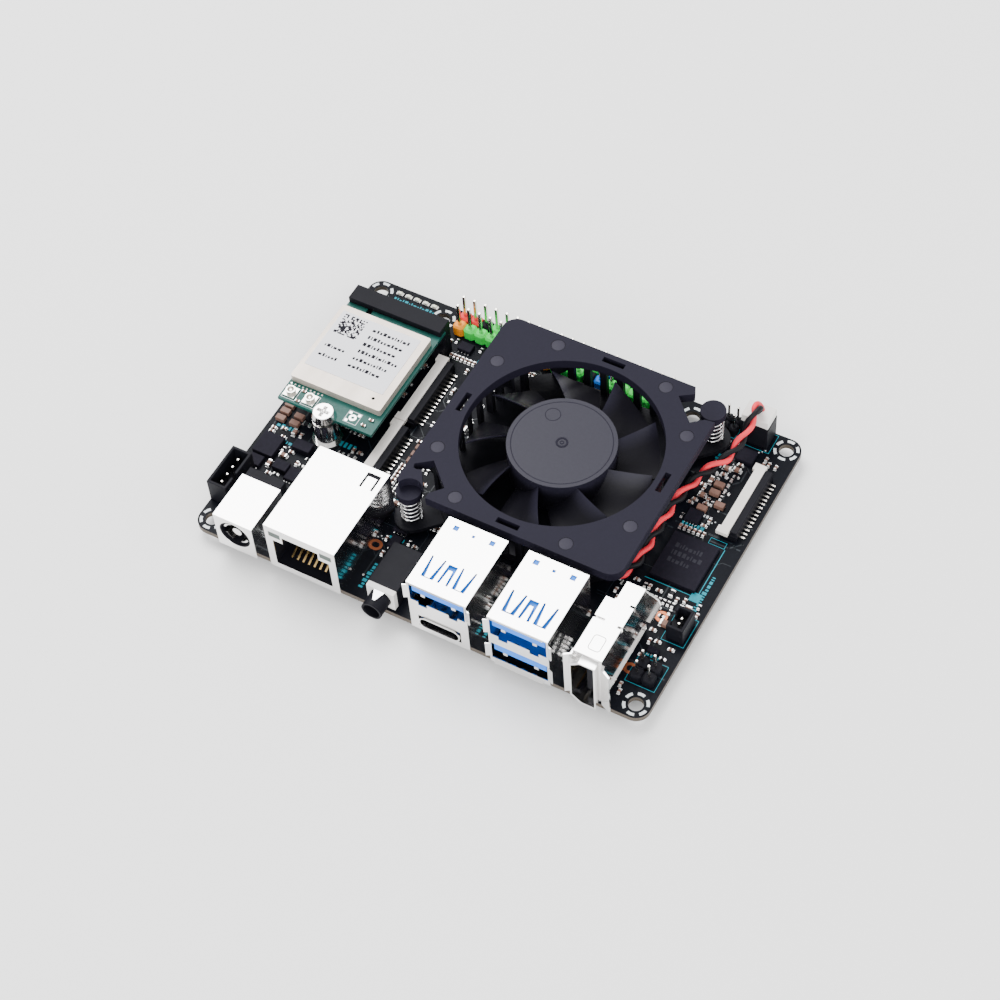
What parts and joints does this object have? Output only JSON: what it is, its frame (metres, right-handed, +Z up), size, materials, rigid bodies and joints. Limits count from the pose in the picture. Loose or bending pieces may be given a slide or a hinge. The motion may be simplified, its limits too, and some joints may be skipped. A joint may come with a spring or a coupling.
{
  "type": "single board computer",
  "caption": "Single board computer with a fan-cooled heatsink, coloured pin header, radio card in a slot, flat-cable sockets and a row of network, power, audio, USB and display sockets.",
  "frame": {"origin": "centre of the circuit board's outline, on its underside", "axes": "+X to the right along the connector edge, +Y from the connector edge towards the pin header, +Z up from the component side"},
  "size_m": [0.1, 0.075, 0.019],
  "materials": {
    "board": "satin black solder mask over glass laminate",
    "green_board": "green solder mask over glass laminate",
    "orange_plastic": "moulded, satin",
    "red_plastic": "moulded, satin",
    "black_plastic": "moulded, satin",
    "green_plastic": "moulded, satin",
    "blue_plastic": "moulded, satin",
    "white_plastic": "moulded nylon, satin",
    "latch_plastic": "moulded, off-white, satin",
    "clear_plastic": "frosted light guide",
    "plated_pin": "tin plated",
    "chip_epoxy": "moulded epoxy",
    "pad_rubber": "soft thermal pad",
    "dark_anodised": "dark anodised",
    "fan_plastic": "moulded, fine matte texture",
    "bright_metal": "nickel plated sheet",
    "shield_metal": "dull tin plated sheet",
    "winding": "enamelled copper on laminated steel",
    "bronze": "sintered, oiled",
    "magnet": "bonded ferrite",
    "spring_steel": "drawn wire",
    "wire_cover": "insulated wires, one red and one black, twisted",
    "gold": "gold flash",
    "label": null,
    "ceramic": "fired ceramic with tinned ends",
    "solder": "solder"
  },
  "bodies": {
    "circuit_board": {"main_board": "board", "gpio_blocks_orange": "orange_plastic", "gpio_blocks_red": "red_plastic", "gpio_blocks_black": "black_plastic", "gpio_blocks_green": "green_plastic", "gpio_blocks_blue": "blue_plastic", "gpio_pins": "plated_pin", "processor_chip": "chip_epoxy", "thermal_pad": "pad_rubber", "heatsink": "dark_anodised", "fan_cover": "fan_plastic", "cover_rivets": "fan_plastic", "fan_motor_base": "fan_plastic", "fan_circuit_board": "board", "fan_stator": "winding", "fan_bearing": "bronze", "push_pin_spring_front": "spring_steel", "push_pin_spring_rear": "spring_steel", "fan_lead": "wire_cover", "fan_plug": "white_plastic", "wire_headers": "black_plastic", "jumper_blocks": "black_plastic", "rtc_battery_socket": "black_plastic", "header_posts": "plated_pin", "ethernet_shield": "bright_metal", "ethernet_insert": "black_plastic", "ethernet_contacts": "gold", "ethernet_light_pipes": "clear_plastic", "dc_jack_shell": "bright_metal", "dc_jack_body": "black_plastic", "dc_jack_contacts": "bright_metal", "audio_jack_body": "black_plastic", "audio_jack_face": "white_plastic", "usb_mixed_shield": "bright_metal", "usb_pair_shield": "bright_metal", "usb_tongues": "blue_plastic", "usb_c_port": "bright_metal", "hdmi_shell": "bright_metal", "port_tongues": "black_plastic", "m2_slot": "black_plastic", "wifi_board": "green_board", "wifi_shield": "shield_metal", "wifi_label": "label", "antenna_sockets": "plated_pin", "m2_standoff": "bright_metal", "m2_screw": "bright_metal", "ribbon_housings": "black_plastic", "ribbon_contacts": "plated_pin", "memory_chip": "chip_epoxy", "small_chips": "chip_epoxy", "chip_capacitors": "ceramic", "solder_tails": "solder"},
    "fan_rotor": {"fan_rotor": "fan_plastic", "fan_shaft": "bright_metal", "rotor_magnet": "magnet"},
    "front_push_pin": {"push_pin_front": "fan_plastic"},
    "rear_push_pin": {"push_pin_rear": "fan_plastic"},
    "upper_camera_latch": {"camera_upper_latch": "latch_plastic"},
    "lower_camera_latch": {"camera_lower_latch": "latch_plastic"},
    "display_cable_latch": {"display_latch": "latch_plastic"}
  },
  "joints": [
    {"name": "fan_spin", "type": "hinge", "parent": "circuit_board", "child": "fan_rotor", "pos_m": [0.01115, 0.006, 0.01], "axis": [0, 0, 1], "continuous": true},
    {"name": "front_pin_press", "type": "slide", "parent": "circuit_board", "child": "front_push_pin", "axis": [0, 0, -1], "range_m": [0, 0.0012], "stiffness_N_per_m": 800, "deforming": ["push_pin_spring_front"]},
    {"name": "rear_pin_press", "type": "slide", "parent": "circuit_board", "child": "rear_push_pin", "axis": [0, 0, -1], "range_m": [0, 0.0012], "stiffness_N_per_m": 800, "deforming": ["push_pin_spring_rear"]},
    {"name": "upper_camera_latch_slide", "type": "slide", "parent": "circuit_board", "child": "upper_camera_latch", "axis": [-1, 0, 0], "range_m": [0, 0.0013]},
    {"name": "lower_camera_latch_slide", "type": "slide", "parent": "circuit_board", "child": "lower_camera_latch", "axis": [-1, 0, 0], "range_m": [0, 0.0013]},
    {"name": "display_latch_slide", "type": "slide", "parent": "circuit_board", "child": "display_cable_latch", "axis": [-1, 0, 0], "range_m": [0, 0.0013]}
  ]
}
